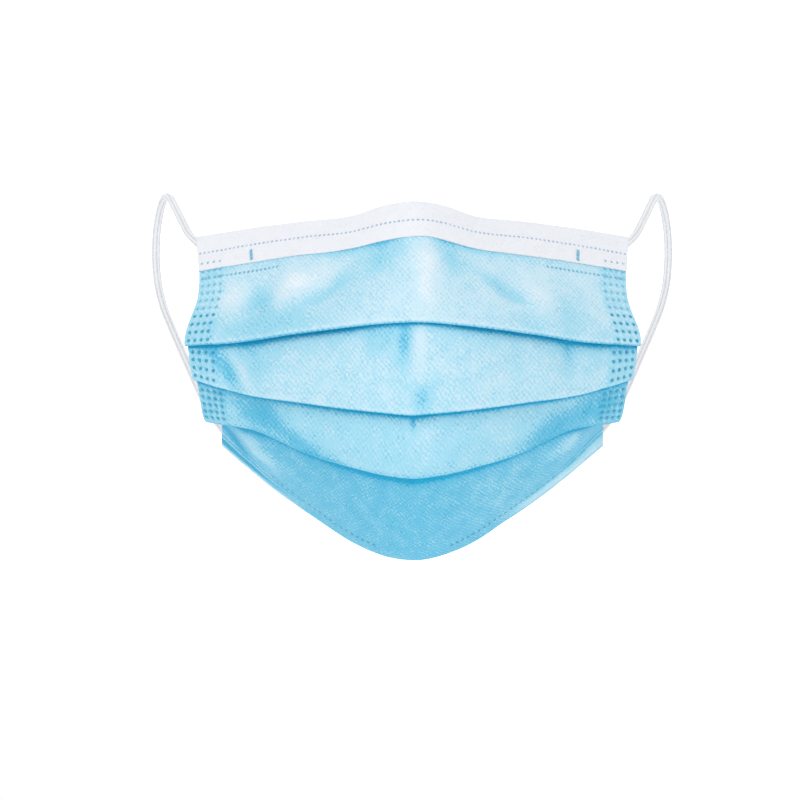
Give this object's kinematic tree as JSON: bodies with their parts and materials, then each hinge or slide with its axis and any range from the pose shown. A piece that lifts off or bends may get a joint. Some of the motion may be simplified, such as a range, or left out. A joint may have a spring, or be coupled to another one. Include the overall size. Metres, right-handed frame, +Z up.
{
  "type": "surgical face mask",
  "caption": "Pleated three-ply face mask with a white top band and elastic ear loops, held in its worn form.",
  "frame": {"origin": "inside of the top band where it sits on the bridge of the nose, on the middle plane, 5 mm below the top edge", "axes": "+X towards the wearer's left ear, +Y back towards the head, +Z up; the front of the mask faces -Y"},
  "size_m": [0.1768, 0.1378, 0.1216],
  "materials": {
    "blue_cloth": "matte spunbond",
    "white_cloth": "matte spunbond",
    "white_elastic": "knitted"
  },
  "bodies": {
    "root": {"face_cloth": "blue_cloth", "top_band": "white_cloth", "ear_loop_left": "white_elastic", "ear_loop_right": "white_elastic"}
  },
  "joints": []
}
